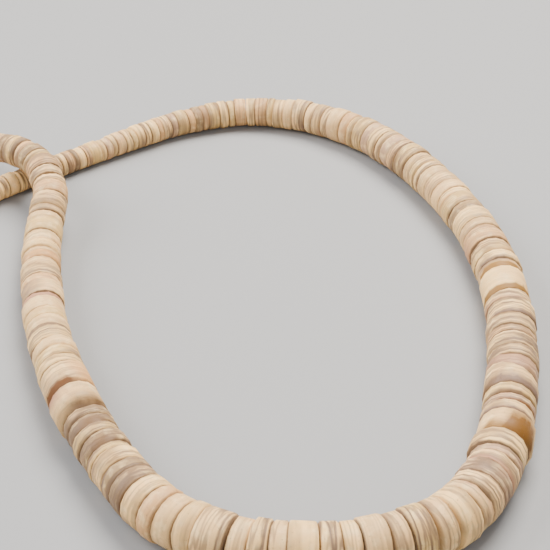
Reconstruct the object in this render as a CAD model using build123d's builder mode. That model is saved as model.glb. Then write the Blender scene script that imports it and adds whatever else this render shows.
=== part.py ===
from build123d import *

# Graduated heishi necklace: drilled shell discs strung on one thread and closed by a barrel clasp.
# It lies on a flat surface as one loop that crosses itself once, with its origin under its middle.
# Lengths are millimetres, +Z is up, and the front of the necklace points to -Y.

import os
from collections import namedtuple
from itertools import cycle
from math import cos, hypot, radians, sin, sqrt, tan

os.makedirs("parts", exist_ok=True)

# Driving dimensions
widest_bead = 9.2  # across the discs at the middle of the front
narrowest_bead = 4.6  # across the discs beside the clasp
bead_gap = 0.13  # clear air between two neighbours where they come closest
edge_bevel = 0.28  # worn edge of a disc's rim
thread_diameter = 0.8
thread_clearance = 0.55  # between the thread and a disc's bore, all round
crossing_gap = 0.45  # clear air where the upper strand passes over the lower one
settling = 0.12  # how far a disc hangs lower than the thread's route would hold it
clasp_length = 13.0
clasp_diameter = 4.8
clasp_clearance = 0.3  # between the thread and the clasp's bore, all round
clasp_end_bevel = 1.0
clasp_seam_width = 0.5
clasp_seam_depth = 0.2
clasp_gap = 0.2  # between the clasp and the last disc on each side
thread_end_gap = 1.2  # between the two ends of the thread, inside the clasp

# Sizes that follow from them
bead_bore = thread_diameter + 2 * thread_clearance
clasp_bore = thread_diameter + 2 * clasp_clearance

# Shares
bevel_limit = 0.22  # largest bevel, of the disc's thickness
corner_share = 0.45  # of the shorter run, taken by the arc at a corner of the route
fitting_rounds = 4  # times that a disc's place, or a stretch's filling, is worked out anew

# Route of the thread, chosen by hand: plan x and y in mm, and rise as a share of the full hump.
# It starts at the left end of the clasp's run, goes over the crossing and round the front,
# and comes back along the right side, round the back and under the crossing.
RoutePoint = namedtuple("RoutePoint", "x y rise")
route_points = [
    RoutePoint(-96.3, 14.4, 0),
    RoutePoint(-106.9, 21.0, 0),
    RoutePoint(-111.6, 32.6, 0),
    RoutePoint(-108.6, 44.7, 0),
    RoutePoint(-99.0, 52.7, 0),
    RoutePoint(-85.6, 54.1, 0),
    RoutePoint(-70.3, 46.8, 0.17),
    RoutePoint(-54.6, 35.9, 1),
    RoutePoint(-47.8, 29.4, 1),
    RoutePoint(-44.4, 20.3, 0.58),
    RoutePoint(-45.0, 9.0, 0.05),
    RoutePoint(-43.9, -3.5, 0),
    RoutePoint(-40.5, -24.0, 0),
    RoutePoint(-33.5, -45.0, 0),
    RoutePoint(-25.8, -61.0, 0),
    RoutePoint(-17.6, -74.0, 0),
    RoutePoint(-4.6, -81.6, 0),
    RoutePoint(11.5, -82.4, 0),
    RoutePoint(25.6, -76.4, 0),
    RoutePoint(33.2, -65.5, 0),
    RoutePoint(37.0, -53.0, 0),
    RoutePoint(40.4, -35.0, 0),
    RoutePoint(42.3, -11.5, 0),
    RoutePoint(38.8, 13.5, 0),
    RoutePoint(30.5, 35.5, 0),
    RoutePoint(20.0, 51.8, 0),
    RoutePoint(7.0, 61.8, 0),
    RoutePoint(-7.2, 64.8, 0),
    RoutePoint(-21.5, 59.6, 0),
    RoutePoint(-37.0, 47.4, 0),
    RoutePoint(-52.3, 34.0, 0),
    RoutePoint(-64.5, 22.5, 0),
    RoutePoint(-76.4, 16.2, 0),
]
under_crossing = route_points[30]  # on the lower strand, below the top of the hump

# Graduation: place from the middle of the front (0) to the clasp (1), and how far each side's
# discs are from the narrowest (0) to the widest (1)
Girth = namedtuple("Girth", "place left right")
graduation = [
    Girth(0.0, 1.00, 1.00),
    Girth(0.2, 0.89, 0.96),
    Girth(0.3, 0.85, 0.91),
    Girth(0.4, 0.70, 0.76),
    Girth(0.5, 0.63, 0.74),
    Girth(0.6, 0.41, 0.54),
    Girth(0.7, 0.24, 0.26),
    Girth(0.8, 0.11, 0.09),
    Girth(1.0, 0.00, 0.00),
]

# Discs that stand out, in order from the front towards the clasp. Thick and wide are shares of
# the string's width there. Slant is the angle of the face towards the clasp, in degrees seen
# from above, more than 0 where the disc is thicker on the inside of the loop. Aside is how far
# the disc sits towards the outside of the loop, as a share of the string's width.
Disc = namedtuple("Disc", "thick wide slant aside")
left_discs = [
    Disc(0.28, 1.00, 0, 0.00),
    Disc(0.38, 0.98, 0, -0.01),
    Disc(0.16, 0.96, 0, 0.01),
    Disc(0.37, 0.98, 5, 0.00),
    Disc(0.25, 0.97, 0, 0.01),
    Disc(0.23, 0.96, -5, -0.01),
    Disc(0.26, 0.98, 0, 0.00),
    Disc(0.72, 1.03, 6, 0.01),
    Disc(0.75, 1.01, 0, 0.00),
    Disc(0.21, 0.99, 0, 0.01),
    Disc(0.36, 0.98, 0, 0.00),
    Disc(0.30, 1.00, 0, -0.01),
    Disc(0.51, 1.00, 0, 0.01),
    Disc(0.38, 0.99, 0, 0.00),
    Disc(0.29, 0.98, 0, 0.00),
    Disc(0.42, 1.01, 0, 0.01),
    Disc(0.16, 0.98, 0, 0.00),
    Disc(0.51, 1.01, 0, -0.01),
    Disc(0.27, 0.99, 0, 0.01),
    Disc(0.46, 1.00, 0, 0.00),
    Disc(0.27, 0.99, 0, 0.01),
    Disc(0.31, 1.00, 0, -0.01),
    Disc(0.20, 0.98, 0, 0.00),
    Disc(0.27, 1.00, 0, 0.01),
    Disc(0.45, 1.01, 0, 0.00),
    Disc(0.60, 1.00, 0, -0.01),
    Disc(0.21, 0.98, 0, 0.01),
    Disc(0.21, 1.00, 0, 0.00),
    Disc(0.46, 1.01, 0, 0.00),
    Disc(0.42, 0.99, 0, -0.01),
]
right_discs = [
    Disc(0.29, 1.00, 0, 0.00),
    Disc(0.26, 0.99, 0, 0.01),
    Disc(0.15, 0.98, 0, 0.01),
    Disc(0.35, 1.02, 0, -0.03),
    Disc(0.58, 1.03, 0, 0.03),
    Disc(0.24, 1.00, 0, 0.01),
    Disc(0.20, 0.99, 0, 0.02),
    Disc(0.28, 1.01, 0, 0.01),
    Disc(0.53, 1.02, 19, 0.01),
    Disc(0.35, 0.99, 0, 0.00),
    Disc(0.31, 1.01, 0, 0.01),
    Disc(0.38, 1.00, 0, 0.01),
    Disc(0.26, 0.98, 0, 0.01),
    Disc(0.39, 1.00, 0, 0.00),
    Disc(0.50, 1.01, 0, 0.03),
    Disc(0.30, 0.97, 0, 0.00),
    Disc(0.84, 0.99, 0, 0.00),
    Disc(0.26, 0.97, 0, -0.01),
    Disc(0.30, 1.01, 0, 0.01),
    Disc(0.33, 1.00, 0, 0.00),
    Disc(0.18, 0.98, 0, 0.01),
    Disc(0.39, 1.01, 0, 0.00),
    Disc(0.19, 0.98, 0, -0.01),
    Disc(0.28, 1.00, 0, 0.01),
    Disc(0.52, 1.01, 0, 0.00),
    Disc(0.32, 0.99, 0, 0.01),
    Disc(0.44, 1.00, 0, -0.01),
    Disc(0.21, 0.98, 0, 0.00),
    Disc(0.38, 1.00, 0, 0.01),
    Disc(0.38, 1.01, 0, 0.00),
    Disc(0.38, 0.99, 0, 0.00),
]
left_discs_start = 0.1808  # place where each row of discs above starts
right_discs_start = 0.0538
middle_thick = 0.36  # share of the widest disc's width, for the disc in the middle of the front

# All other discs take the next row of this pattern, over and over
plain_discs = [
    Disc(0.27, 1.00, 0, 0.00),
    Disc(0.36, 1.01, 0, 0.01),
    Disc(0.21, 0.98, 0, -0.01),
    Disc(0.30, 1.00, 0, 0.01),
    Disc(0.41, 1.02, 0, 0.00),
    Disc(0.21, 0.99, 0, 0.01),
    Disc(0.29, 1.00, 0, -0.01),
    Disc(0.24, 0.97, 0, 0.00),
    Disc(0.46, 1.01, 0, 0.01),
    Disc(0.25, 1.00, 0, -0.01),
    Disc(0.33, 0.98, 0, 0.00),
    Disc(0.20, 1.00, 0, 0.01),
    Disc(0.35, 1.01, 0, -0.01),
]


# Width of the string
def string_width(place, side):
    """Width at a place from the middle of the front (0) to the clasp (1), on one side."""
    for before, after in zip(graduation, graduation[1:]):
        if place <= after.place:
            break
    share = min((place - before.place) / (after.place - before.place), 1)
    girth = getattr(before, side) * (1 - share) + getattr(after, side) * share
    return narrowest_bead + (widest_bead - narrowest_bead) * girth


# Route in space. The clasp's run joins the last point to the first, with the clasp in its middle.
clasp_point = RoutePoint(
    (route_points[0].x + route_points[-1].x) / 2, (route_points[0].y + route_points[-1].y) / 2, 0
)
stations = [clasp_point] + route_points + [clasp_point]
travelled = [0.0]
for start, end in zip(stations, stations[1:]):
    travelled.append(travelled[-1] + hypot(end.x - start.x, end.y - start.y))


def station_width(station):
    """Width of the string at a point of the route."""
    half = travelled[-1] / 2
    distance = travelled[stations.index(station)]
    return string_width(abs(distance - half) / half, "left" if distance < half else "right")


hump_height = station_width(under_crossing) + crossing_gap
route = [
    Vector(station.x, station.y, station_width(station) / 2 + station.rise * hump_height)
    for station in stations
]
# The thread's two ends stop short of each other inside the clasp
route[0] += (route[1] - route[0]).normalized() * (thread_end_gap / 2)
route[-1] += (route[-2] - route[-1]).normalized() * (thread_end_gap / 2)

corner_radii = []
for before, corner, after in zip(route, route[1:], route[2:]):
    half_turn = radians((corner - before).get_angle(after - corner) / 2)
    shorter_run = min((corner - before).length, (after - corner).length)
    corner_radii.append(corner_share * shorter_run / tan(half_turn))
print("corner radii:", [round(radius, 1) for radius in corner_radii])

with BuildLine() as string_line:
    FilletPolyline(*route, radius=corner_radii)
string_wire = string_line.wires()[0]
half_string = string_wire.length / 2
side_length = half_string + thread_end_gap / 2 - clasp_length / 2


def thread_at(distance, side):
    """Point and direction towards the clasp, at a distance from the middle of the string."""
    sign = -1 if side == "left" else 1
    share = (half_string + sign * distance) / string_wire.length
    return string_wire.position_at(share), string_wire.tangent_at(share) * sign


# Seats of the discs
Seat = namedtuple("Seat", "distance centre along thickness width front_slant clasp_slant bevel")


def seat_at(distance, row, side, scale=1.0, front_slant=0):
    """Seat of a disc at a distance from the middle of the string."""
    string = string_width(distance / side_length, side)
    thickness = row.thick * string * scale
    width = row.wide * string
    point, along = thread_at(distance, side)
    outwards = 1 if side == "right" else -1
    aside = Vector(along.Y, -along.X, 0).normalized() * (outwards * row.aside * string)
    # A disc stands on the surface, or hangs as high above it as the thread rises there
    lift = max(point.Z - string / 2 - settling, 0)
    reach = width / 2 * sqrt(1 - along.Z**2) + thickness / 2 * abs(along.Z)
    centre = Vector(point.X + aside.X, point.Y + aside.Y, lift + reach)
    bevel = min(edge_bevel, bevel_limit * thickness)
    return Seat(distance, centre, along, thickness, width, front_slant, -outwards * row.slant, bevel)


def face_reach(seat, slant, direction):
    """How far a disc's face, slanted like that, reaches from the disc's centre in a direction."""
    lean = min(abs(seat.along.rotate(Axis.Z, slant).dot(direction)), 1)
    rim = seat.width / 2 / cos(radians(slant)) - (0 if slant else seat.bevel)
    return seat.thickness / 2 * abs(seat.along.dot(direction)) + rim * sqrt(1 - lean**2)


def clear_air(previous, seat):
    """Clear air between two neighbours, whose faces fan out where the thread bends."""
    slant = previous.clasp_slant
    direction = (previous.along + seat.along).normalized().rotate(Axis.Z, slant)
    reach = face_reach(previous, slant, direction) + face_reach(seat, slant, direction)
    return (seat.centre - previous.centre).dot(direction) - reach


def lay_disc(row, side, previous, scale=1.0):
    """Seat of the next disc towards the clasp, beside the previous one."""
    distance = previous.distance + previous.thickness
    for _ in range(fitting_rounds):
        seat = seat_at(distance, row, side, scale, previous.clasp_slant)
        distance += bead_gap - clear_air(previous, seat)
    return seat_at(distance, row, side, scale, previous.clasp_slant)


def lay_discs(rows, side, previous, scale=1.0):
    """Seats of a row of discs, one after the other towards the clasp."""
    seats = []
    for row in rows:
        previous = lay_disc(row, side, previous, scale)
        seats.append(previous)
    return seats


def fill_discs(pattern, end, side, previous):
    """Seats of plain discs up to a distance, each a little thicker or thinner to fit."""
    rows = [next(pattern)]
    seats = lay_discs(rows, side, previous)
    while seats[-1].distance < end:
        rows.append(next(pattern))
        seats.append(lay_disc(rows[-1], side, seats[-1]))
    rows.pop()
    seats.pop()
    scale = 1.0
    for _ in range(fitting_rounds):
        slack = end - seats[-1].distance - seats[-1].thickness / 2
        scale *= 1 + slack / sum(seat.thickness for seat in seats)
        seats = lay_discs(rows, side, previous, scale)
    return seats


def lay_side(side, noted_rows, noted_start, middle_seat):
    """Seats of one side's discs, from the disc in the middle of the front to the clasp."""
    pattern = cycle(plain_discs)
    seats = fill_discs(pattern, noted_start * side_length, side, middle_seat)
    seats += lay_discs(noted_rows, side, seats[-1])
    # The last disc is turned a little from the clasp's end, because the thread bends there
    turn = radians(thread_at(side_length, side)[1].get_angle(thread_at(half_string, side)[1]))
    end = side_length - clasp_gap - narrowest_bead / 2 * sin(turn)
    return seats + fill_discs(pattern, end, side, seats[-1])


# The disc in the middle of the front belongs to the right string
right_middle = seat_at(0, Disc(middle_thick, 1, 0, 0), "right")
left_middle = right_middle._replace(along=-right_middle.along)
left_seats = lay_side("left", left_discs, left_discs_start, left_middle)
right_seats = [right_middle] + lay_side("right", right_discs, right_discs_start, right_middle)
print("discs:", len(left_seats), "left and", len(right_seats), "right")


# The origin lies under the middle of what the necklace covers, seen from above
def middle_of_reach(axis):
    """Middle of the discs' reach along a direction of the plan."""
    lows = []
    highs = []
    for seat in left_seats + right_seats:
        lean = abs(seat.along.dot(axis))
        across = sqrt(1 - lean**2)
        rim = seat.width / 2 * across + (seat.thickness / 2 - seat.bevel) * lean
        face = (seat.width / 2 - seat.bevel) * across + seat.thickness / 2 * lean
        lows.append(seat.centre.dot(axis) - max(rim, face))
        highs.append(seat.centre.dot(axis) + max(rim, face))
    return (min(lows) + max(highs)) / 2


origin = Vector(middle_of_reach(Vector(1, 0, 0)), middle_of_reach(Vector(0, 1, 0)), 0)
print("origin on the route's plan:", round(origin.X, 3), round(origin.Y, 3))


# Strings of discs
def disc_solid(seat):
    """One drilled disc, with its two faces as slanted as its seat says and its edges worn."""
    centre = seat.centre - origin
    half = seat.along * (seat.thickness / 2)
    across = seat.along.cross(Vector(0, 0, 1))
    slanted = seat.front_slant or seat.clasp_slant
    overlength = seat.width / 2 if slanted else 0
    with BuildPart() as disc:
        with BuildSketch(Plane(origin=centre, x_dir=across, z_dir=seat.along)):
            Circle(seat.width / 2)
            Circle(bead_bore / 2, mode=Mode.SUBTRACT)
        extrude(amount=seat.thickness / 2 + overlength, both=True)
        if slanted:
            front_normal = seat.along.rotate(Axis.Z, seat.front_slant)
            clasp_normal = seat.along.rotate(Axis.Z, seat.clasp_slant)
            split(bisect_by=Plane(origin=centre - half, z_dir=front_normal), keep=Keep.TOP)
            split(bisect_by=Plane(origin=centre + half, z_dir=clasp_normal), keep=Keep.BOTTOM)
        # Only a straight face's edge is worn round evenly, and a slanted one stays sharp
        rim = disc.faces().filter_by(GeomType.CYLINDER).sort_by(SortBy.AREA)[-1]
        chamfer(rim.edges().filter_by(GeomType.CIRCLE), length=seat.bevel)
    return disc.part


with BuildPart() as left_string:
    add([disc_solid(seat) for seat in left_seats])
left_string.part.label = "left_string"
export_step(left_string.part, "parts/left_string.step")

with BuildPart() as right_string:
    add([disc_solid(seat) for seat in right_seats])
right_string.part.label = "right_string"
export_step(right_string.part, "parts/right_string.step")

# Thread through every disc, with both ends in the clasp
with BuildPart() as thread:
    with BuildLine() as thread_line:
        FilletPolyline(*[point - origin for point in route], radius=corner_radii)
    with BuildSketch(Plane(origin=thread_line.line @ 0, z_dir=thread_line.line % 0)):
        Circle(thread_diameter / 2)
    sweep()
thread.part.label = "thread"
export_step(thread.part, "parts/thread.step")

# Barrel clasp, one plain piece with a seam round its middle
clasp_centre = Vector(clasp_point.x, clasp_point.y, clasp_diameter / 2) - origin
clasp_run = route[1] - route[-2]
clasp_plane = Plane(origin=clasp_centre, z_dir=(clasp_run.X, clasp_run.Y, 0))
with BuildPart() as clasp:
    with BuildSketch(clasp_plane):
        Circle(clasp_diameter / 2)
    extrude(amount=clasp_length / 2, both=True)
    chamfer(clasp.edges().filter_by(GeomType.CIRCLE), length=clasp_end_bevel)
    with BuildSketch(clasp_plane):
        Circle(clasp_diameter / 2)
        Circle(clasp_diameter / 2 - clasp_seam_depth, mode=Mode.SUBTRACT)
    extrude(amount=clasp_seam_width / 2, both=True, mode=Mode.SUBTRACT)
    with BuildSketch(clasp_plane):
        Circle(clasp_bore / 2)
    extrude(amount=clasp_length / 2, both=True, mode=Mode.SUBTRACT)
clasp.part.label = "clasp"
export_step(clasp.part, "parts/clasp.step")
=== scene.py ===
"""Looks of a graduated heishi bead necklace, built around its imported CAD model.

Every disc of the two strings is read from its CAD solid and made again in the same seat, as a worn
and slightly uneven shell disc. The thread keeps its CAD shape, and the clasp is turned in silver.
"""

import logging
from dataclasses import dataclass, field
from enum import Enum
from math import atan2, cos, degrees, pi, radians, sin, tau
from random import Random
from typing import Union

import bmesh
import bpy
import numpy as np
from mathutils import Matrix, Quaternion, Vector


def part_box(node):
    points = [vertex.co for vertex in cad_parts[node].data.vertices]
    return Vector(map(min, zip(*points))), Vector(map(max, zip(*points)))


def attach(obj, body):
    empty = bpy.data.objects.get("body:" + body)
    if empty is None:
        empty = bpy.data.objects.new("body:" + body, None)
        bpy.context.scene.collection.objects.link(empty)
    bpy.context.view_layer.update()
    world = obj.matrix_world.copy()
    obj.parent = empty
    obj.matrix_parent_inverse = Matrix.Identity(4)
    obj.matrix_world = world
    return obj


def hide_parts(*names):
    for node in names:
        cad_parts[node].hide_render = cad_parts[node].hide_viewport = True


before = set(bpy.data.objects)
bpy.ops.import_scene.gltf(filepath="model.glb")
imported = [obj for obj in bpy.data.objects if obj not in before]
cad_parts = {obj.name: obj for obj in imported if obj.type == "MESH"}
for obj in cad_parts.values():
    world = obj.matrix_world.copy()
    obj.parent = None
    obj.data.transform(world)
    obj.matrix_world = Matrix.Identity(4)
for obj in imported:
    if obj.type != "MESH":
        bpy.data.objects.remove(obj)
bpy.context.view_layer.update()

MM = 0.001
WELD = 0.0005 * MM  # corners of a CAD node closer than this are one corner
SAME = 0.0001 * MM  # lengths closer than this are equal
UP = Vector((0.0, 0.0, 1.0))
log = logging.getLogger("heishi_necklace")

Triple = tuple[float, float, float]
Colour = Triple
Range = tuple[float, float]
SocketValue = Union["Wire", float, int, tuple]


# Shader tools
@dataclass(frozen=True)
class Noise:
    """How fine a noise is, how many finer layers it has and how strong they are."""

    scale: float
    detail: float = 2.0
    roughness: float = 0.5


class Wire:
    """One output of a shader node. Sums written with wires become Math nodes."""

    def __init__(self, bench: "ShaderBench", socket: bpy.types.NodeSocket) -> None:
        """Keep the output and the bench that it stands on."""
        self.bench = bench
        self.socket = socket

    def _math(self, kind: str, first: SocketValue, second: SocketValue, clamp: bool = False) -> "Wire":
        """Add a Math node.

        Args:
            kind: Name of the Math node's operation.
            first: First value or wire.
            second: Second value or wire.
            clamp: Whether the result is kept between 0 and 1.

        Returns:
            The node's result.
        """
        settings = {"operation": kind, "use_clamp": clamp}
        return self.bench.add("ShaderNodeMath", settings, {0: first, 1: second})

    def __add__(self, other: SocketValue) -> "Wire":
        """Sum of two values."""
        return self._math("ADD", self, other)

    __radd__ = __add__

    def __sub__(self, other: SocketValue) -> "Wire":
        """Difference of two values."""
        return self._math("SUBTRACT", self, other)

    def __rsub__(self, other: SocketValue) -> "Wire":
        """Difference of two values, the wire being the one taken away."""
        return self._math("SUBTRACT", other, self)

    def __mul__(self, other: SocketValue) -> "Wire":
        """Product of two values."""
        return self._math("MULTIPLY", self, other)

    __rmul__ = __mul__

    def __pow__(self, other: SocketValue) -> "Wire":
        """The wire raised to a power."""
        return self._math("POWER", self, other)

    def apart(self, value: float) -> "Wire":
        """How far the wire is from a value, on either side."""
        return self._math("ABSOLUTE", self - value, 0.0)

    def ranging(self, low: float, high: float) -> "Wire":
        """The wire from 0 to 1 made a value from low to high."""
        return low + (high - low) * self

    def between(self, low: float, high: float) -> "Wire":
        """How far the wire has come from a low value to a high one, as a share from 0 to 1."""
        return self._math("MULTIPLY", self - low, 1.0 / (high - low), clamp=True)


class ShaderBench:
    """A material while its nodes are laid out."""

    def __init__(self, name: str) -> None:
        """Start an empty material.

        Args:
            name: The material's name.
        """
        self.material = bpy.data.materials.new(name)
        self.material.use_nodes = True
        self.tree = self.material.node_tree
        self.tree.nodes.clear()

    def add(
        self, kind: str, settings: dict | None = None, sockets: dict | None = None, output: int | str = 0
    ) -> Wire:
        """Add any node.

        Args:
            kind: Type of the node.
            settings: The node's own settings, set before its sockets.
            sockets: Values or wires of its input sockets, by name or number.
            output: Name or number of the output that is returned.

        Returns:
            That output.
        """
        node = self.tree.nodes.new(kind)
        for setting, value in (settings or {}).items():
            setattr(node, setting, value)
        for socket, value in (sockets or {}).items():
            if isinstance(value, Wire):
                self.tree.links.new(value.socket, node.inputs[socket])
            else:
                node.inputs[socket].default_value = value
        return Wire(self, node.outputs[output])

    def attribute(self, name: str, output: str = "Fac") -> Wire:
        """One of the mesh's own attributes, as a number, a vector, a colour or its alpha."""
        settings = {"attribute_type": "GEOMETRY", "attribute_name": name}
        return self.add("ShaderNodeAttribute", settings, output=output)

    def place(self) -> Wire:
        """Object coordinates."""
        return self.add("ShaderNodeTexCoord", output="Object")

    def scaled(self, vector: Wire, scale: Triple) -> Wire:
        """A vector with each of its parts scaled by itself."""
        return self.add("ShaderNodeVectorMath", {"operation": "MULTIPLY"}, {0: vector, 1: scale})

    def noise(self, vector: Wire, noise: Noise) -> Wire:
        """Noise with values from 0 to 1, read at the place that a vector gives."""
        values = {"Scale": noise.scale, "Detail": noise.detail, "Roughness": noise.roughness}
        return self.add("ShaderNodeTexNoise", None, {"Vector": vector, **values})

    def blend(self, first: Wire | Colour, second: Wire | Colour, share: Wire | float) -> Wire:
        """Mix two colours.

        Args:
            first: Colour where the share is 0.
            second: Colour where the share is 1.
            share: How much of the second colour there is.

        Returns:
            The mixed colour.
        """
        pair = [colour if isinstance(colour, Wire) else (*colour, 1.0) for colour in (first, second)]
        settings = {"data_type": "RGBA", "clamp_factor": True}
        return self.add("ShaderNodeMix", settings, {0: share, 6: pair[0], 7: pair[1]}, 2)

    def bump(self, height: Wire, strength: float, depth: float) -> Wire:
        """Turn heights into a normal.

        Args:
            height: Heights from 0 to 1.
            strength: How much of them shows.
            depth: Height of a full step, in metres.

        Returns:
            The bumped normal.
        """
        sockets = {"Strength": strength, "Distance": depth, "Height": height}
        return self.add("ShaderNodeBump", None, sockets, "Normal")

    def finish(self, sockets: dict) -> bpy.types.Material:
        """Close the material with a Principled surface.

        Args:
            sockets: Values or wires of the surface's sockets.

        Returns:
            The finished material.
        """
        surface = self.add("ShaderNodeBsdfPrincipled", None, sockets, "BSDF")
        output = self.tree.nodes.new("ShaderNodeOutputMaterial")
        self.tree.links.new(surface.socket, output.inputs["Surface"])
        return self.material


# Finishes
PATCHES = ("patch_a", "patch_b")  # attributes of the patches that a disc can have


class Tone(Enum):
    """Body colour of a shell disc."""

    IVORY = (0.93, 0.585, 0.225)
    CREAM = (0.80, 0.50, 0.21)
    PEACH = (0.70, 0.39, 0.155)
    ROSE = (0.52, 0.315, 0.175)
    SAND = (0.35, 0.22, 0.095)
    BUFF = (0.68, 0.43, 0.15)


class StainAndShadeColour(Enum):
    """Colour of a patch or band on a disc, for stains and, on a few discs, for painted shade."""

    HONEY = (0.18, 0.075, 0.010)
    RUST = (0.17, 0.067, 0.021)
    UMBER = (0.17, 0.09, 0.038)
    ROSE = (0.42, 0.205, 0.115)
    PEACH = (0.70, 0.34, 0.115)
    LILAC = (0.215, 0.13, 0.083)
    OCHRE = (0.27, 0.13, 0.026)


@dataclass(frozen=True)
class ShellFinish:
    """Tumbled shell with growth layers that run along each disc's faces.

    Noises are read in millimetres. A level or a range is where in its noise a mark comes in, and a
    share is how much of the colour under it the mark covers.
    """

    # groove is the colour of painted shade with dirt, laid on the bevels at each disc's end faces where the
    # grooves between discs lie in shade
    groove: Colour = (0.15, 0.09, 0.05)
    line: Colour = (0.19, 0.115, 0.065)
    blush: Colour = (0.72, 0.41, 0.19)
    pale: Colour = (0.96, 0.685, 0.335)
    layering: Triple = (0.08, 0.08, 1.0)
    layers: Noise = Noise(0.6, 0.3)
    layer_range: Range = (0.52, 0.72)
    layer_share: Range = (0.08, 0.40)
    layer_height: float = 0.4
    line_by_grain: Range = (0.1, 1.0)
    seam_level: float = 0.52
    seam_width: Range = (0.02, 0.075)
    seam_share: Range = (0.5, 1.3)
    seam_depth: float = 0.5
    hairs: Noise = Noise(1.35, 0.5)
    hair_level: float = 0.5
    hair_width: Range = (0.03, 0.11)
    hair_share: Range = (0.3, 1.1)
    hair_depth: float = 0.25
    clouds: Noise = Noise(0.28)
    cloud_range: Range = (0.50, 0.72)
    cloud_share: float = 0.5
    veil: Noise = Noise(0.644)
    veil_range: Range = (0.48, 0.68)
    veil_share: float = 0.6
    pits: Noise = Noise(3.2, 3.0, 0.6)
    pit_range: Range = (0.64, 0.72)
    pit_share: float = 0.55
    pit_dip: Range = (0.62, 0.74)
    pit_depth: float = 0.6
    patch_range: Range = (0.15, 0.95)
    patch_share: Range = (0.55, 1.55)
    # power and share of that painted groove shade with dirt; the share runs with the pits noise
    shade_and_dirt_power: float = 1.4
    shade_and_dirt_share: Range = (0.6, 1.2)
    roughness: Range = (0.45, 0.67)
    relief: float = 0.14 * MM
    relief_strength: float = 0.6

    def material(self) -> bpy.types.Material:
        """Lay out the shell's nodes.

        Returns:
            The material.
        """
        bench = ShaderBench("shell")
        place = bench.attribute("place", "Vector")
        layered = bench.scaled(place, self.layering)
        layers = bench.noise(layered, self.layers)
        hairs = bench.noise(layered, self.hairs)
        clouds = bench.noise(place, self.clouds)
        veil = bench.noise(place, self.veil)
        pits = bench.noise(place, self.pits)
        grain = bench.attribute("shell", "Alpha")
        lined = grain.ranging(*self.line_by_grain)
        seam = (1.0 - layers.apart(self.seam_level).between(*self.seam_width)) * lined
        hair = (1.0 - hairs.apart(self.hair_level).between(*self.hair_width)) * lined

        colour = bench.attribute("shell", "Color")
        colour = bench.blend(colour, self.pale, veil.between(*self.veil_range) * self.veil_share)
        colour = bench.blend(colour, self.blush, clouds.between(*self.cloud_range) * self.cloud_share)
        banded = layers.between(*self.layer_range) * grain.ranging(*self.layer_share)
        colour = bench.blend(colour, self.line, banded)
        colour = bench.blend(colour, self.line, seam * veil.ranging(*self.seam_share))
        colour = bench.blend(colour, self.line, hair * clouds.ranging(*self.hair_share))
        for patch in PATCHES:
            stain_and_shade = bench.attribute(patch, "Alpha") * veil.ranging(*self.patch_share)
            patched = stain_and_shade.between(*self.patch_range)
            colour = bench.blend(colour, bench.attribute(patch, "Color"), patched)
        colour = bench.blend(colour, self.line, pits.between(*self.pit_range) * self.pit_share)
        # Painted shade with dirt: the bevel at each end face, marked by the edge attribute, darkens towards
        # the groove colour
        shade_and_dirt = bench.attribute("edge") ** self.shade_and_dirt_power * pits.ranging(*self.shade_and_dirt_share)
        colour = bench.blend(colour, self.groove, shade_and_dirt.between(0.0, 1.0))

        height = layers * self.layer_height - seam * self.seam_depth - hair * self.hair_depth
        height = height - pits.between(*self.pit_dip) * self.pit_depth
        return bench.finish(
            {
                "Base Color": colour,
                "Roughness": pits.ranging(*self.roughness),
                "Normal": bench.bump(height, self.relief_strength, self.relief),
                "Subsurface Weight": 0.08,
                "Subsurface Radius": (0.9, 0.62, 0.40),
                "Subsurface Scale": 0.3 * MM,
                "Specular IOR Level": 0.24,
                "Coat Weight": 0.03,
                "Coat Roughness": 0.3,
            }
        )


@dataclass(frozen=True)
class ThreadFinish:
    """Waxed thread in a natural tan."""

    light: Colour = (0.50, 0.38, 0.24)
    dark: Colour = (0.24, 0.16, 0.09)
    fibres: Noise = Noise(3200.0, 3.0, 0.65)
    fibre_range: Range = (0.34, 0.62)
    roughness: Range = (0.55, 0.75)
    relief: float = 0.08 * MM
    relief_strength: float = 0.8

    def material(self) -> bpy.types.Material:
        """Lay out the thread's nodes.

        Returns:
            The material.
        """
        bench = ShaderBench("waxed_thread")
        fibres = bench.noise(bench.place(), self.fibres)
        return bench.finish(
            {
                "Base Color": bench.blend(self.dark, self.light, fibres.between(*self.fibre_range)),
                "Roughness": fibres.ranging(*self.roughness),
                "Normal": bench.bump(fibres, self.relief_strength, self.relief),
                "Sheen Weight": 0.3,
            }
        )


@dataclass(frozen=True)
class SilverFinish:
    """Satin silver with fine turning marks and darker tarnish in the seam."""

    bright: Colour = (0.79, 0.77, 0.72)
    tarnish: Colour = (0.30, 0.26, 0.21)
    turning: Triple = (0.5, 0.5, 14.0)
    marks: Noise = Noise(3.0, 3.0)
    film: Noise = Noise(0.8, 3.0)
    film_range: Range = (0.46, 0.75)
    film_share: float = 0.35
    roughness: Range = (0.2, 0.36)
    tarnish_roughness: float = 0.2
    relief: float = 0.03 * MM
    relief_strength: float = 0.18

    def material(self) -> bpy.types.Material:
        """Lay out the silver's nodes.

        Returns:
            The material.
        """
        bench = ShaderBench("satin_silver")
        place = bench.attribute("place", "Vector")
        marks = bench.noise(bench.scaled(place, self.turning), self.marks)
        film = bench.noise(place, self.film).between(*self.film_range) * self.film_share
        tarnished = (film + bench.attribute("edge")).between(0.0, 1.0)
        return bench.finish(
            {
                "Base Color": bench.blend(self.bright, self.tarnish, tarnished),
                "Metallic": 1.0,
                "Roughness": marks.ranging(*self.roughness) + self.tarnish_roughness * tarnished,
                "Normal": bench.bump(marks, self.relief_strength, self.relief),
            }
        )


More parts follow.
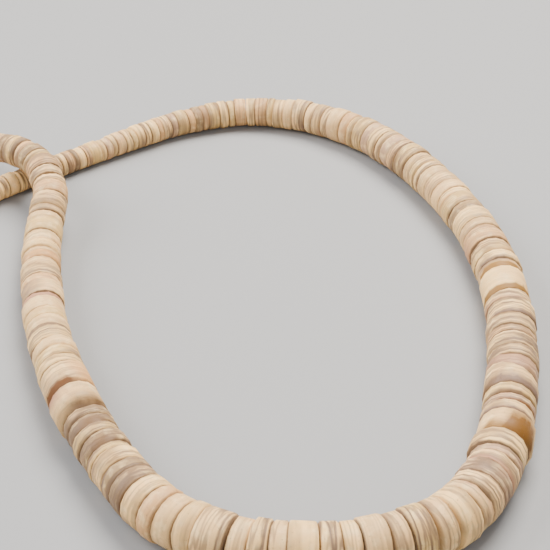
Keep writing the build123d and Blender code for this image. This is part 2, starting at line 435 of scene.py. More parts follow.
@dataclass(frozen=True)
class FloorFinish:
    """Plain pale studio floor."""

    colour: Colour = (0.262, 0.264, 0.268)
    grain: Noise = Noise(900.0)
    roughness: Range = (0.6, 0.7)

    def material(self) -> bpy.types.Material:
        """Lay out the floor's nodes.

        Returns:
            The material.
        """
        bench = ShaderBench("studio_floor")
        grain = bench.noise(bench.place(), self.grain)
        roughness = grain.ranging(*self.roughness)
        return bench.finish({"Base Color": (*self.colour, 1.0), "Roughness": roughness})


# Seats read from the CAD solids
class Side(Enum):
    """Half of the necklace, with the sign that turns a disc's own side outwards."""

    LEFT = -1
    RIGHT = 1


@dataclass
class Face:
    """One end face of a disc, with the slow wave that it shares with the face beside it."""

    FINER_WAVE = 0.6

    point: Vector
    normal: Vector
    wave: float = 0.0
    phase: float = 0.0
    # strength of the painted shade with dirt on the bevel at this face
    shade_and_dirt: float = 1.0

    def swell(self, angle: float) -> float:
        """How far the face swells towards the clasp at an angle round its rim."""
        finer = self.FINER_WAVE * sin(3 * angle - 2 * self.phase)
        return self.wave * (sin(2 * angle + self.phase) + finer)


@dataclass
class DiscSeat:
    """Where one turned solid sits: its axis, its radius and its two end faces."""

    centre: Vector
    along: Vector
    radius: float
    away: Face
    towards: Face

    @property
    def half(self) -> float:
        """Half of the distance between the faces, on the axis."""
        return (self.towards.point - self.away.point).length / 2


class Island:
    """One loose solid of a CAD node, as arrays of corners and triangles.

    A triangle belongs to an end face where its normal is this nearly along the axis (AXIAL), and to
    the round side where so little of the normal is along it (RADIAL).
    """

    AXIAL = 0.85
    RADIAL = 0.35
    LEAST_AREA = 1e-20

    def __init__(self, corners: np.ndarray, triangles: np.ndarray) -> None:
        """Work out the solid's triangle normals, areas and rough centre.

        Args:
            corners: Places of the corners, one a row.
            triangles: Numbers of each triangle's three corners, one triangle a row.
        """
        self.corners = corners
        self.triangles = triangles
        first, second, third = (corners[triangles[:, k]] for k in range(3))
        cross = np.cross(second - first, third - first)
        self.areas = np.linalg.norm(cross, axis=1)
        self.normals = cross / np.maximum(self.areas[:, None], self.LEAST_AREA)
        self.middles = (first + second + third) / 3
        self.rough_centre = (corners.min(0) + corners.max(0)) / 2

    def seat(self, roughly_along: np.ndarray) -> DiscSeat:
        """Find the exact axis, radius and end faces of a turned solid.

        Args:
            roughly_along: A direction within some 20 degrees of the axis.

        Returns:
            The solid's seat.
        """
        facing = self.normals @ roughly_along / np.linalg.norm(roughly_along)
        round_side = np.abs(facing) < self.RADIAL
        weighted = self.normals[round_side] * self.areas[round_side, None]
        along = np.linalg.eigh(weighted.T @ self.normals[round_side])[1][:, 0]
        along = along if along @ roughly_along > 0 else -along
        outwards = ((self.middles - self.rough_centre) * self.normals).sum(1) > 0
        centre, radius = self._circle(np.unique(self.triangles[round_side & outwards]), along)
        axial = self.normals @ along
        faces = [self._face(centre, along, axial * sign > self.AXIAL) for sign in (-1, 1)]
        middle = (faces[0].point + faces[1].point) / 2
        return DiscSeat(middle, Vector(along), radius, *faces)

    def _circle(self, rim: np.ndarray, along: np.ndarray) -> tuple[np.ndarray, float]:
        """Fit a circle to the rim's corners.

        Args:
            rim: Numbers of the rim's corners.
            along: The solid's axis.

        Returns:
            A point on the axis and the radius.
        """
        sideways = np.cross(along, (0.0, 0.0, 1.0))
        sideways /= np.linalg.norm(sideways)
        upright = np.cross(along, sideways)
        offsets = self.corners[rim] - self.rough_centre
        x, y = offsets @ sideways, offsets @ upright
        fit = np.linalg.lstsq(np.c_[2 * x, 2 * y, np.ones(len(x))], x**2 + y**2, rcond=None)[0]
        centre = self.rough_centre + fit[0] * sideways + fit[1] * upright
        return centre, float(np.sqrt(fit[2] + fit[0] ** 2 + fit[1] ** 2))

    def _face(self, centre: np.ndarray, along: np.ndarray, chosen: np.ndarray) -> Face:
        """Plane of one end face.

        Args:
            centre: A point on the axis.
            along: The axis.
            chosen: Which triangles face that way.

        Returns:
            The face, with its point on the axis.
        """
        normal = (self.normals[chosen] * self.areas[chosen, None]).sum(0)
        normal /= np.linalg.norm(normal)
        reach = (self.corners @ normal).max()
        step = (reach - centre @ normal) / (along @ normal)
        return Face(Vector(centre + along * step), Vector(normal))


def islands_of(node: str) -> list[Island]:
    """Split a CAD node into its loose solids.

    Args:
        node: Name of the node.

    Returns:
        Its solids, in no special order.
    """
    bm = bmesh.new()
    bm.from_mesh(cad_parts[node].data)
    bmesh.ops.remove_doubles(bm, verts=bm.verts, dist=WELD)
    bmesh.ops.triangulate(bm, faces=bm.faces)
    bm.verts.index_update()
    found = []
    seen: set[int] = set()
    for start in bm.verts:
        if start.index in seen or not start.link_faces:
            continue
        seen.add(start.index)
        group = [start]
        for vert in group:
            for edge in vert.link_edges:
                other = edge.other_vert(vert)
                if other.index not in seen:
                    seen.add(other.index)
                    group.append(other)
        number = {vert.index: k for k, vert in enumerate(group)}
        faces = {face for vert in group for face in vert.link_faces}
        triangles = sorted(tuple(number[vert.index] for vert in face.verts) for face in faces)
        found.append(Island(np.array([vert.co for vert in group], float), np.array(triangles)))
    bm.free()
    return found


def seats_of(node: str, last: Vector) -> list[DiscSeat]:
    """Seats of a string's discs.

    Args:
        node: Name of the string's node.
        last: Place of what the string ends at.

    Returns:
        The seats, in order from the middle of the front to the clasp.
    """
    left = islands_of(node)
    chain: list[Island] = []
    place = np.array(last)
    while left:
        nearest = min(left, key=lambda island: float(np.linalg.norm(island.rough_centre - place)))
        left.remove(nearest)
        chain.append(nearest)
        place = nearest.rough_centre
    chain.reverse()
    ways = np.gradient(np.array([island.rough_centre for island in chain]), axis=0)
    return [island.seat(way) for island, way in zip(chain, ways)]


# Looks of the discs
SIDES = 16
HALF_ROUND = 180.0
ALL_ROUND = 360.0


class Ring(Enum):
    """Ring of corners on one face of a disc, numbered by its radius on the pattern."""

    BORE = 1
    FACE = 2
    RIM = 3


class Zone(Enum):
    """Stretch of a disc's rim, from the face away from the clasp (-1) to the one towards it (1)."""

    AWAY = -1
    WHOLE = 0
    TOWARDS = 1


@dataclass(frozen=True)
class StainAndShade:
    """Patch of another colour: a stain on most discs, and painted shade on a few.

    Its angle is in degrees from the top towards the outside of the loop, and its reach is the share
    of the disc's thickness that it covers from its own end. Fullness widens the part of its spread
    over which it doesn't fade.
    """

    FULLNESS = 1.6

    stain_and_shade_colour: StainAndShadeColour
    angle: float
    spread: float
    strength: float = 1.0
    zone: Zone = Zone.WHOLE
    reach: float = 1.15

    def share(self, angle: float, ring_side: int) -> float:
        """How strong the patch is at a corner of the disc.

        Args:
            angle: The corner's angle, in degrees.
            ring_side: Its face, -1 away from the clasp and 1 towards it.

        Returns:
            Its strength there.
        """
        apart = abs((angle - self.angle + HALF_ROUND) % ALL_ROUND - HALF_ROUND)
        fade = max(0.0, 1.0 - apart / self.spread) if self.spread < HALF_ROUND else 1.0
        side = 1.0 - 1.0 / self.reach if self.zone.value == -ring_side else 1.0
        return self.strength * side * min(1.0, fade * self.FULLNESS)


@dataclass(frozen=True)
class DiscLook:
    """Look of one disc. Its rounding, its scoop and the gap in front of it are in millimetres."""

    tone: Tone
    stains_and_shade: tuple[StainAndShade, ...] = ()
    grain: float = 0.5
    rounding: float = 0.22
    scoop: float = 0.0
    gap: float = 0.0
    # strength of the painted shade with dirt on the bevels at the disc's faces
    shade_and_dirt: float = 0.8


# Discs with a look of their own, by their number from the middle of the front
RIGHT_LOOKS = {
    4: DiscLook(Tone.CREAM, grain=0.9),
    5: DiscLook(Tone.ROSE, grain=1.0),
    6: DiscLook(Tone.CREAM, (StainAndShade(StainAndShadeColour.ROSE, 0, ALL_ROUND, 0.8, Zone.AWAY, 0.5),), grain=0.8),
    7: DiscLook(Tone.ROSE, grain=0.8),
    8: DiscLook(Tone.IVORY, (StainAndShade(StainAndShadeColour.UMBER, -62, 40, 0.9, Zone.AWAY, 0.5),), grain=0.7, shade_and_dirt=1.0),
    9: DiscLook(
        Tone.CREAM,
        (
            StainAndShade(StainAndShadeColour.HONEY, 38, 58, 2.0, Zone.AWAY, 1.34),
            StainAndShade(StainAndShadeColour.OCHRE, -32, 30, 1.2, Zone.AWAY, 0.6),
        ),
        grain=0.1, rounding=0.4, scoop=0.23, shade_and_dirt=1.0,
    ),
    10: DiscLook(Tone.CREAM, (StainAndShade(StainAndShadeColour.LILAC, 0, ALL_ROUND, 0.9, Zone.AWAY, 0.45),)),
    11: DiscLook(Tone.ROSE, (StainAndShade(StainAndShadeColour.RUST, 25, 90, 0.9, Zone.AWAY, 0.5),), grain=0.8),
    12: DiscLook(Tone.BUFF, (StainAndShade(StainAndShadeColour.UMBER, 15, 110, 0.8, Zone.AWAY, 0.4),), grain=0.7),
    13: DiscLook(
        Tone.CREAM,
        (
            StainAndShade(StainAndShadeColour.LILAC, 25, 170, 1.3, Zone.AWAY, 0.8),
            StainAndShade(StainAndShadeColour.UMBER, -68, 40, 1.0, Zone.AWAY, 0.7),
        ),
        grain=0.6, shade_and_dirt=1.0,
    ),
    14: DiscLook(
        Tone.ROSE,
        (StainAndShade(StainAndShadeColour.ROSE, -20, 120, 0.55), StainAndShade(StainAndShadeColour.UMBER, 55, 60, 0.9, Zone.AWAY, 0.6)),
        grain=0.8, shade_and_dirt=1.0,
    ),
    15: DiscLook(Tone.CREAM, grain=0.9),
    16: DiscLook(Tone.IVORY, grain=1.0),
    17: DiscLook(Tone.PEACH, (StainAndShade(StainAndShadeColour.UMBER, -10, 80, 0.8, Zone.AWAY, 0.5),), grain=1.0),
    18: DiscLook(Tone.CREAM, (StainAndShade(StainAndShadeColour.UMBER, -35, 60, 1.0, Zone.TOWARDS, 0.35),), grain=0.8),
    19: DiscLook(Tone.IVORY, (StainAndShade(StainAndShadeColour.LILAC, 0, 120, 1.0, Zone.AWAY, 0.4),), grain=1.0, shade_and_dirt=1.0),
    20: DiscLook(Tone.CREAM, (StainAndShade(StainAndShadeColour.ROSE, 0, ALL_ROUND, 0.6, Zone.AWAY, 0.6),), grain=0.9),
    21: DiscLook(Tone.IVORY, (StainAndShade(StainAndShadeColour.OCHRE, -25, 110, 2.2, Zone.AWAY, 0.26),), grain=0.08, shade_and_dirt=1.0),
    22: DiscLook(
        Tone.CREAM,
        (
            StainAndShade(StainAndShadeColour.OCHRE, -10, 95, 2.0, Zone.AWAY, 0.9),
            StainAndShade(StainAndShadeColour.LILAC, -20, 80, 0.9, Zone.TOWARDS, 0.4),
        ),
    ),
    23: DiscLook(Tone.IVORY, (StainAndShade(StainAndShadeColour.LILAC, -30, 80, 0.8, Zone.AWAY, 0.4),)),
}
LEFT_LOOKS = {
    13: DiscLook(Tone.SAND, grain=1.0),
    14: DiscLook(Tone.SAND, grain=1.0),
    16: DiscLook(Tone.BUFF, grain=1.0),
    # The umber patch in the scoop at the face away from the clasp is painted shade in the open gap there.
    17: DiscLook(
        Tone.SAND,
        (StainAndShade(StainAndShadeColour.UMBER, 14, 46, 1.8, Zone.AWAY, 0.9),),
        grain=1.0, scoop=0.3, gap=0.22, shade_and_dirt=1.0,
    ),
    18: DiscLook(Tone.BUFF, grain=1.0, gap=0.1, shade_and_dirt=1.0),
    # The umber patch in the scoop at the face away from the clasp is painted shade in the open gap there.
    19: DiscLook(
        Tone.SAND,
        (StainAndShade(StainAndShadeColour.UMBER, 4, 50, 1.8, Zone.AWAY, 0.9),),
        grain=1.0, scoop=0.3, gap=0.26, shade_and_dirt=1.0,
    ),
    20: DiscLook(Tone.SAND, grain=1.0),
    21: DiscLook(
        Tone.CREAM,
        (
            # The umber patch at the face away from the clasp is painted shade, darkening that side of the
            # puffy disc; the rose patch is its own colour.
            StainAndShade(StainAndShadeColour.UMBER, -20, 85, 0.8, Zone.AWAY, 0.75),
            StainAndShade(StainAndShadeColour.ROSE, 62, 45, 0.9, Zone.TOWARDS, 0.5),
        ),
        grain=0.15, rounding=0.8, shade_and_dirt=1.0,
    ),
    22: DiscLook(
        Tone.CREAM,
        (StainAndShade(StainAndShadeColour.RUST, 48, 75, 1.5, Zone.AWAY, 0.28), StainAndShade(StainAndShadeColour.PEACH, -50, 60, 0.6)),
        grain=0.5, rounding=0.45, shade_and_dirt=1.0,
    ),
    30: DiscLook(Tone.ROSE, (StainAndShade(StainAndShadeColour.ROSE, 0, ALL_ROUND, 0.8),), grain=0.3),
}


@dataclass(frozen=True)
class PlainLook:
    """Weights and ranges from which the look of any other disc is drawn.

    Patched is the chance that it has a patch.
    """

    tones: tuple[Tone, ...] = tuple(Tone)
    tone_weights: tuple[int, ...] = (8, 8, 4, 2, 1, 3)
    grain: Range = (0.1, 1.0)
    rounding: Range = (0.16, 0.30)
    # levels and weights of the painted shade with dirt on a disc's bevels
    shade_and_dirt_levels: tuple[float, ...] = (0.4, 0.65, 0.85, 1.0)
    shade_and_dirt_weights: tuple[int, ...] = (3, 4, 4, 3)
    patched: float = 0.35
    pigments: tuple[StainAndShadeColour, ...] = (
        StainAndShadeColour.ROSE, StainAndShadeColour.UMBER, StainAndShadeColour.OCHRE, StainAndShadeColour.PEACH, StainAndShadeColour.LILAC,
    )
    spread: Range = (40, 120)
    strength: Range = (0.3, 0.7)
    reach: Range = (0.4, 1.1)

    def draw(self, luck: Random) -> DiscLook:
        """Draw one look.

        Args:
            luck: Source of the draws.

        Returns:
            The look.
        """
        tone = luck.choices(self.tones, self.tone_weights)[0]
        grain = luck.uniform(*self.grain)
        rounding = luck.uniform(*self.rounding)
        shade_and_dirt = luck.choices(self.shade_and_dirt_levels, self.shade_and_dirt_weights)[0]
        stains_and_shade: tuple[StainAndShade, ...] = ()
        if luck.random() < self.patched:
            stain_and_shade = StainAndShade(
                luck.choice(self.pigments),
                luck.uniform(-HALF_ROUND, HALF_ROUND),
                luck.uniform(*self.spread),
                luck.uniform(*self.strength),
                luck.choice(list(Zone)),
                luck.uniform(*self.reach),
            )
            stains_and_shade = (stain_and_shade,)
        return DiscLook(tone, stains_and_shade, grain, rounding, shade_and_dirt=shade_and_dirt)


@dataclass(frozen=True)
class Wear:
    """How far the discs differ from true ones, by ranges that each disc draws from.

    Size, oval, lump and cone are shares of the seat's radius, and slack is how much of its play a
    smaller disc has moved. A chip and the shift of a disc's pattern are in millimetres.
    """

    shade: Range = (0.90, 1.08)
    rounding: Range = (0.8, 1.2)
    most_rounding: float = 0.55
    size: Range = (0.965, 1.0)
    oval: Range = (0.0, 0.012)
    lump: Range = (0.0, 0.010)
    cone: Range = (-0.012, 0.012)
    chips: tuple[int, ...] = (0, 1, 1, 2, 3)
    chip: Range = (0.08, 0.3)
    shift: Range = (-400.0, 400.0)
    slack: Range = (0.3, 1.0)


# Discs and strings
@dataclass
class Disc:
    """One shell disc in its seat, with the unevenness of hand work. Lengths are metres.

    A chip takes RIM_CHIP of its size off the rim's radius and sets the rim back by SET_BACK of it.
    The crown is how much of the face's normal is mixed into that of the rim, and the bevel's turn
    how much of the radial one is mixed into that of the face. The oval and the lump are each an
    amount and an angle.
    """

    RIM_CHIP = 0.35
    SET_BACK = 0.8
    LEAST_CROWN = 0.20
    CROWN_BY_ROUNDING = 0.40
    BEVEL_TURN = 0.45

    seat: DiscSeat
    away: Face
    towards: Face
    side: Side
    look: DiscLook
    luck: Random
    wear: Wear = Wear()
    tone: Colour = field(init=False)
    turned: float = field(init=False)
    worn: float = field(init=False)
    size: float = field(init=False)
    oval: tuple[float, float] = field(init=False)
    lump: tuple[float, float] = field(init=False)
    cone: float = field(init=False)
    chips: dict[tuple[int, int], float] = field(init=False)
    shift: Vector = field(init=False)
    up: Vector = field(init=False)
    out: Vector = field(init=False)
    middle: Vector = field(init=False)

    def __post_init__(self) -> None:
        """Draw the disc's own wear, shape and chips."""
        luck, wear = self.luck, self.wear
        shade = luck.uniform(*wear.shade)
        self.tone = tuple(shade * part for part in self.look.tone.value)
        self.turned = luck.uniform(0.0, tau / SIDES)
        rounding = self.look.rounding * luck.uniform(*wear.rounding) * MM
        self.worn = min(rounding, wear.most_rounding * self.seat.half)
        self.size = luck.uniform(*wear.size)
        self.oval = (luck.uniform(*wear.oval), luck.uniform(0.0, tau))
        self.lump = (luck.uniform(*wear.lump), luck.uniform(0.0, tau))
        self.cone = luck.uniform(*wear.cone)
        self.chips = {
            (luck.choice((-1, 1)), luck.randrange(SIDES)): luck.uniform(*wear.chip) * MM
            for _ in range(luck.choice(wear.chips))
        }
        self.shift = Vector([luck.uniform(*wear.shift) for _ in range(3)])
        self.up = (UP - self.seat.along * UP.dot(self.seat.along)).normalized()
        self.out = self.seat.along.cross(self.up) * self.side.value
        turn = luck.uniform(0.0, tau)
        slack = self.seat.radius * (1 - self.size) * luck.uniform(*wear.slack)
        self.middle = self.seat.centre + self.radial(turn) * slack

    def face(self, ring_side: int) -> Face:
        """The end face on one side."""
        return self.towards if ring_side > 0 else self.away

    def radial(self, angle: float) -> Vector:
        """Direction straight out of the rim at an angle from the top towards the outside."""
        return self.up * cos(angle) + self.out * sin(angle)

    def radius(self, angle: float, ring_side: int) -> float:
        """Radius of the rim, a little under that of the seat.

        Args:
            angle: Angle round the rim, in radians.
            ring_side: Its face, -1 away from the clasp and 1 towards it.

        Returns:
            The radius there.
        """
        oval = self.oval[0] * (1 + cos(2 * angle + self.oval[1])) / 2
        lump = self.lump[0] * (1 + cos(3 * angle + self.lump[1])) / 2
        cone = abs(self.cone) - self.cone * ring_side
        return self.seat.radius * (self.size - oval - lump - cone / 2)

    def scooped(self, angle: float, ring_side: int) -> float:
        """Depth of the scoop under the disc's first patch.

        Args:
            angle: Angle round the rim, in radians.
            ring_side: Its face, -1 away from the clasp and 1 towards it.

        Returns:
            The depth there.
        """
        if not self.look.scoop:
            return 0.0
        share = self.look.stains_and_shade[0].share(degrees(angle), ring_side)
        return self.look.scoop * MM * max(0.0, share)

    def corner(self, ring: Ring, angle: float, ring_side: int, bore: float) -> Vector:
        """Place of one corner of the disc.

        Args:
            ring: Which ring it belongs to.
            angle: Its angle, in radians.
            ring_side: Its face, -1 away from the clasp and 1 towards it.
            bore: Radius of the bore.

        Returns:
            The corner's place.
        """
        rim = self.radius(angle, ring_side) - self.scooped(angle, ring_side)
        number = round((angle - self.turned) / tau * SIDES) % SIDES
        chip = self.chips.get((ring_side, number), 0.0)
        reaches = {
            Ring.BORE: bore,
            Ring.FACE: rim - self.worn - chip,
            Ring.RIM: rim - chip * self.RIM_CHIP,
        }
        reach = reaches[ring]
        face = self.face(ring_side)
        start = self.middle + self.radial(angle) * reach
        step = (face.point - start).dot(face.normal) / self.seat.along.dot(face.normal)
        step += face.swell(angle) * reach / self.seat.radius
        if ring is Ring.RIM:
            step -= ring_side * (self.worn + chip * self.SET_BACK)
        return start + self.seat.along * step

    def facing(self, ring: Ring, angle: float, ring_side: int) -> Vector:
        """Normal at a corner, so that the rim is softly crowned and the bevel turns to the face.

        Args:
            ring: Which ring the corner belongs to.
            angle: Its angle, in radians.
            ring_side: Its face, -1 away from the clasp and 1 towards it.

        Returns:
            The normal.
        """
        crown = self.LEAST_CROWN + self.CROWN_BY_ROUNDING * self.look.rounding
        share = {Ring.BORE: 0.0, Ring.FACE: self.BEVEL_TURN, Ring.RIM: 1.0 - crown}[ring]
        return (self.radial(angle) * share + self.face(ring_side).normal * (1.0 - share)).normalized()

    def patch(self, number: int, angle: float, ring_side: int) -> tuple[float, float, float, float]:
        """Colour and strength of one of the disc's patches at a corner.

        Args:
            number: Number of the patch.
            angle: The corner's angle, in radians.
            ring_side: Its face, -1 away from the clasp and 1 towards it.

        Returns:
            The patch's colour, with its strength as alpha.
        """
        if number >= len(self.look.stains_and_shade):
            return (*self.tone, 0.0)
        stain_and_shade = self.look.stains_and_shade[number]
        return (*stain_and_shade.stain_and_shade_colour.value, stain_and_shade.share(degrees(angle), ring_side))

    def own_place(self, point: Vector) -> Vector:
        """A point in the disc's own millimetres, moved so that no two discs share a pattern."""
        local = (point - self.seat.centre) / MM
        return Vector([local.dot(way) for way in (self.out, self.up, self.seat.along)]) + self.shift


@dataclass
class DiscString:
    """One string of shell discs, all joined in one mesh.

    Lengths are metres and angles degrees. The two faces at a groove turn towards each other, by the
    nesting at most. They lean together at random, with the lean as deviation, and swell together:
    the wave is the most that they do, as a share of the radius, and least_wave of that the least.
    """

    LEAST_ANGLE = 1e-6

    node: str
    side: Side
    seed: int
    noted: dict[int, DiscLook]
    bore: float = 0.95 * MM
    groove: float = 0.04 * MM
    nesting: float = 2.4
    lean: float = 1.5
    wave: float = 0.026
    least_wave: float = 0.2
    plain: PlainLook = PlainLook()

    def discs(self, clasp: Vector) -> list[Disc]:
        """Dress every seat of the string with a disc.

        Args:
            clasp: Where the string ends.

        Returns:
            The discs, in order from the middle of the front.
        """
        luck = Random(self.seed)
        seats = seats_of(self.node, clasp)
        drawn = [self.plain.draw(luck) for _ in seats]
        looks = [self.noted.get(number, look) for number, look in enumerate(drawn)]
        away = [Face(seat.away.point, seat.away.normal) for seat in seats]
        towards = [Face(seat.towards.point, seat.towards.normal) for seat in seats]
        for number, (seat, following) in enumerate(zip(seats, seats[1:]), start=1):
            towards[number - 1], away[number] = self._nested(seat, following, looks[number], luck)
        return [
            Disc(*parts, self.side, look, Random(luck.random()))
            for *parts, look in zip(seats, away, towards, looks)
        ]

    def _nested(
        self, seat: DiscSeat, following: DiscSeat, look: DiscLook, luck: Random
    ) -> tuple[Face, Face]:
        """Let two neighbours' faces come close, each turned a little towards the other.

        Args:
            seat: The disc before the groove.
            following: The disc after it.
            look: Look of the disc after it.
            luck: Source of the small lean and wave that both faces share.

        Returns:
            The face of each disc at the groove.
        """
        bisector = (seat.towards.normal - following.away.normal).normalized()
        middle = (seat.towards.point + following.away.point) / 2
        sideways = Quaternion(UP, radians(luck.gauss(0.0, self.lean)))
        over = Quaternion(seat.along.cross(UP), radians(luck.gauss(0.0, self.lean)))
        wave = seat.radius * luck.uniform(self.least_wave, 1.0) * self.wave
        phase = luck.uniform(0.0, tau)
        nesting = radians(self.nesting)
        faces = []
        for disc, face, sign in ((seat, seat.towards, 1), (following, following.away, -1)):
            apart = max(face.normal.angle(bisector * sign), self.LEAST_ANGLE)
            turned = face.normal.slerp(bisector * sign, min(1.0, nesting / apart))
            short = disc.radius * sin(max(apart - nesting, 0.0))
            back = self.groove / 2 + short + look.gap * MM / 2
            point = middle - bisector * sign * back
            # both faces at the groove carry the painted shade with dirt of the disc after it
            faces.append(Face(point, sideways @ over @ turned, wave, phase, look.shade_and_dirt))
        return faces[0], faces[1]

    def build(self, clasp: Vector, material: bpy.types.Material) -> bpy.types.Object:
        """Make the string's mesh and let it stand for the CAD node.

        Args:
            clasp: Where the string ends.
            material: The shell's material.

        Returns:
            The string's object, in place.
        """
        pattern = self._pattern()
        normals: list[Vector] = []
        bm = bmesh.new()
        place = bm.verts.layers.float_vector.new("place")
        edge = bm.verts.layers.float.new("edge")
        shell = bm.verts.layers.float_color.new("shell")
        patches = [bm.verts.layers.float_color.new(name) for name in PATCHES]
        for disc in self.discs(clasp):
            known = len(bm.verts)
            bm.from_mesh(pattern)
            bm.verts.ensure_lookup_table()
            for vert in bm.verts[known:]:
                ring = Ring(round(vert.co.xy.length))
                ring_side = 1 if vert.co.z > 0 else -1
                angle = atan2(vert.co.y, vert.co.x) + disc.turned
                vert.co = disc.corner(ring, angle, ring_side, self.bore)
                normals.append(disc.facing(ring, angle, ring_side))
                vert[place] = disc.own_place(vert.co)
                # edge carries the painted shade with dirt: the face's strength on the face ring of the
                # bevel, none on the rim
                vert[edge] = 0.0 if ring is Ring.RIM else disc.face(ring_side).shade_and_dirt
                vert[shell] = (*disc.tone, disc.look.grain)
                for number, patch in enumerate(patches):
                    vert[patch] = disc.patch(number, angle, ring_side)
        return dress(finished_piece(bm, f"{self.node}_discs", material, normals), self.node)

    def _pattern(self) -> bpy.types.Mesh:
        """A ring of corners numbered by its radii, turned once and copied for every disc.

        Returns:
            The ring's mesh.
        """
        bm = bmesh.new()
        outline = [(ring.value, -1.0) for ring in Ring]
        outline += [(radius, -height) for radius, height in reversed(outline)]
        turn_round(bm, outline, SIDES)
        mesh = bpy.data.meshes.new(f"{self.node}_pattern")
        bm.to_mesh(mesh)
        bm.free()
        return mesh


# Making of pieces
def turn_round(bm: bmesh.types.BMesh, outline: list[tuple[float, float]], steps: int) -> None:
    """Turn a closed outline once round the Z axis.

    Args:
        bm: Mesh that gets the turned shape.
        outline: Radius and height of the outline's corners, in order.
        steps: Number of sides of the round.
    """
    corners = [bm.verts.new((radius, 0.0, height)) for radius, height in outline]
    edges = [bm.edges.new(pair) for pair in zip(corners, corners[1:] + corners[:1])]
    bmesh.ops.spin(
        bm, geom=corners + edges, cent=(0, 0, 0), axis=UP, dvec=(0, 0, 0), angle=tau, steps=steps,
        use_merge=True,
    )


def finished_piece(
    bm: bmesh.types.BMesh, name: str, material: bpy.types.Material, normals: list[Vector] | None = None
) -> bpy.types.Object:
    """Turn a mesh into a smooth object with its material, its faces outwards.

    Args:
        bm: The mesh, in place and all turned the same way. It is freed.
        name: The object's name.
        material: Its material.
        normals: Normals of its corners, where they aren't those of its faces.

    Returns:
        The object.
    """
    if bm.calc_volume(signed=True) < 0.0:
        bmesh.ops.reverse_faces(bm, faces=bm.faces)
    mesh = bpy.data.meshes.new(name)
    bm.to_mesh(mesh)
    bm.free()
    mesh.shade_smooth()
    mesh.materials.append(material)
    if normals:
        mesh.normals_split_custom_set_from_vertices(normals)
    piece = bpy.data.objects.new(name, mesh)
    bpy.context.scene.collection.objects.link(piece)
    return piece


def dress(piece: bpy.types.Object, node: str) -> bpy.types.Object:
    """Let a piece stand for a CAD node, on the one body.

    Args:
        piece: The finished piece.
        node: Name of the node.

    Returns:
        The same piece.
    """
    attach(piece, "root")
    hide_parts(node)
    return piece


# Thread and clasp
@dataclass
class Thread:
    """The thread that all discs are strung on, in its CAD shape."""

    node: str = "thread"

    def build(self, material: bpy.types.Material) -> bpy.types.Object:
        """Give the thread's CAD node its finish.

        Args:
            material: The thread's material.

        Returns:
            The node's object.
        """
        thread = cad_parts[self.node]
        thread.data.materials.clear()
        thread.data.materials.append(material)
        return thread


@dataclass
class BarrelClasp:
    """Plain barrel clasp, turned round its own axis. Lengths are metres."""

    node: str = "clasp"
    sides: int = 48
    bore: float = 0.7 * MM
    dark_bore: float = 0.91 * MM
    bevelled_end: float = 1.0 * MM
    seam_width: float = 0.5 * MM
    seam_depth: float = 0.2 * MM
    worn: float = 0.12 * MM

    def seat(self) -> DiscSeat:
        """Find where the clasp's CAD solid sits.

        Returns:
            Its seat.
        """
        low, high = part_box(self.node)
        solid = max(islands_of(self.node), key=lambda island: len(island.corners))
        return solid.seat(np.array((high.x - low.x, 0.0, 0.0)))

    def build(self, material: bpy.types.Material) -> bpy.types.Object:
        """Turn the clasp and let it stand for the CAD node.

        Args:
            material: The silver's material.

        Returns:
            The clasp's object, in place.
        """
        seat = self.seat()
        half, radius = seat.half, seat.radius
        outline = [
            (self.bore, half),
            (radius - self.bevelled_end, half),
            (radius, half - self.bevelled_end),
            (radius, self.seam_width / 2),
            (radius - self.seam_depth, self.seam_width / 2),
        ]
        outline += [(reach, -height) for reach, height in reversed(outline)]
        bm = bmesh.new()
        edge = bm.verts.layers.float.new("edge")
        place = bm.verts.layers.float_vector.new("place")
        turn_round(bm, outline, self.sides)
        hoops = [line for line in bm.edges if self._is_hoop(line)]
        bmesh.ops.bevel(
            bm, geom=hoops, offset=self.worn, offset_type="OFFSET", segments=2, profile=0.5,
            affect="EDGES", material=-1,
        )
        for vert in bm.verts:
            vert[edge] = 1.0 if self._is_tarnished(vert.co, radius) else 0.0
            vert[place] = vert.co / MM
        turned = seat.along.to_track_quat("Z", "Y").to_matrix().to_4x4()
        bmesh.ops.transform(bm, matrix=Matrix.Translation(seat.centre) @ turned, verts=bm.verts)
        return dress(finished_piece(bm, "barrel_clasp", material), self.node)

    def _is_tarnished(self, point: Vector, radius: float) -> bool:
        """Whether a corner lies in the bore or in the seam.

        Args:
            point: The corner, with the clasp still round the Z axis.
            radius: The clasp's radius.

        Returns:
            Whether dirt gathers there.
        """
        reach = point.xy.length
        near_seam = abs(point.z) < self.seam_width / 2 + self.worn
        sunken = reach < radius - self.seam_depth / 3
        return (near_seam and sunken) or reach < self.dark_bore

    @staticmethod
    def _is_hoop(line: bmesh.types.BMEdge) -> bool:
        """Whether an edge runs round the axis, along a turned corner."""
        one, other = (vert.co for vert in line.verts)
        return abs(one.z - other.z) < SAME and abs(one.xy.length - other.xy.length) < SAME


# Studio
@dataclass(frozen=True)
class Softbox:
    """Square soft light that looks at the necklace. Lengths are metres and power is watts."""

    name: str
    place: Triple
    size: float
    power: float
    colour: Colour

    def hang(self) -> None:
        """Add the light to the scene."""
        light = bpy.data.lights.new(self.name, "AREA")
        light.size = self.size
        light.energy = self.power
        light.color = self.colour
        lamp = bpy.data.objects.new(self.name, light)
        lamp.location = self.place
        lamp.rotation_euler = (-Vector(self.place)).to_track_quat("-Z", "Y").to_euler()
        bpy.context.scene.collection.objects.link(lamp)


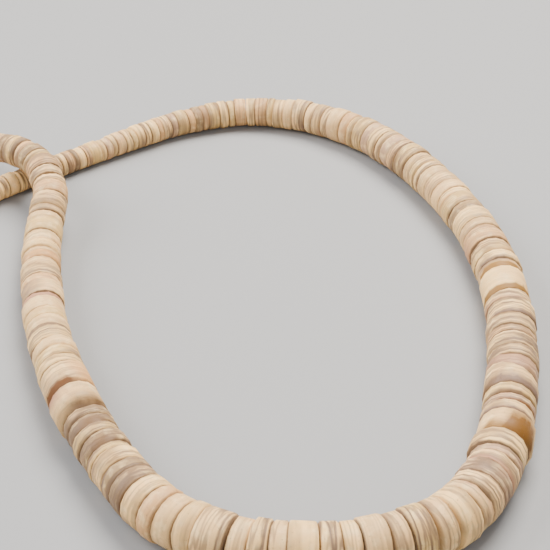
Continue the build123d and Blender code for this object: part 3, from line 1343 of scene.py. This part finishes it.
@dataclass
class Studio:
    """Pale floor, soft lights and the camera.

    Lengths are metres and angles degrees, but the lens and its sensor are in millimetres.
    """

    floor_size: float = 3.0
    softboxes: tuple[Softbox, ...] = (
        Softbox("key_softbox", (0.16, 0.26, 0.52), 0.4, 11.5, (1.0, 0.95, 0.88)),
        Softbox("front_fill", (0.10, -0.55, 0.42), 0.6, 3.2, (1.0, 0.98, 0.97)),
        Softbox("left_fill", (-0.50, 0.12, 0.38), 0.5, 8.5, (1.0, 0.985, 0.98)),
    )
    sky: Colour = (0.86, 0.87, 0.90)
    sky_strength: float = 0.25
    aim: Vector = field(default_factory=lambda: Vector((33.45, 9.78, 0.0)) * MM)
    distance: float = 0.291
    elevation: float = 32.0
    lens: float = 100.0
    sensor: float = 36.0
    nearest: float = 0.01

    def build(self) -> None:
        """Set up the floor, the lights, the sky and the camera."""
        bm = bmesh.new()
        bmesh.ops.create_grid(bm, x_segments=1, y_segments=1, size=self.floor_size / 2)
        finished_piece(bm, "floor", FloorFinish().material())
        for softbox in self.softboxes:
            softbox.hang()
        sky = bpy.data.worlds.new("sky")
        sky.use_nodes = True
        background = sky.node_tree.nodes["Background"]
        background.inputs["Color"].default_value = (*self.sky, 1.0)
        background.inputs["Strength"].default_value = self.sky_strength
        bpy.context.scene.world = sky
        self._camera()

    def _camera(self) -> None:
        """Place the camera at the photograph's angle."""
        lens = bpy.data.cameras.new("camera")
        lens.lens = self.lens
        lens.sensor_width = self.sensor
        lens.clip_start = self.nearest
        camera = bpy.data.objects.new("camera", lens)
        lean = radians(self.elevation)
        camera.location = self.aim + Vector((0.0, -cos(lean), sin(lean))) * self.distance
        camera.rotation_euler = (pi / 2 - lean, 0.0, 0.0)
        bpy.context.scene.collection.objects.link(camera)
        bpy.context.scene.camera = camera


def report(piece: bpy.types.Object) -> None:
    """Log a finished piece with its number of faces."""
    log.info("%s: %d faces", piece.name, len(piece.data.polygons))


def main() -> None:
    """Build the necklace's pieces in order and report each."""
    logging.basicConfig(level=logging.INFO, format="%(name)s: %(message)s")
    Studio().build()
    log.info("studio: floor, lights and camera")
    clasp = BarrelClasp()
    end = clasp.seat().centre
    shell = ShellFinish().material()
    report(DiscString("left_string", Side.LEFT, 11, LEFT_LOOKS).build(end, shell))
    report(DiscString("right_string", Side.RIGHT, 23, RIGHT_LOOKS).build(end, shell))
    report(clasp.build(SilverFinish().material()))
    report(Thread().build(ThreadFinish().material()))


if __name__ == "__main__":
    main()
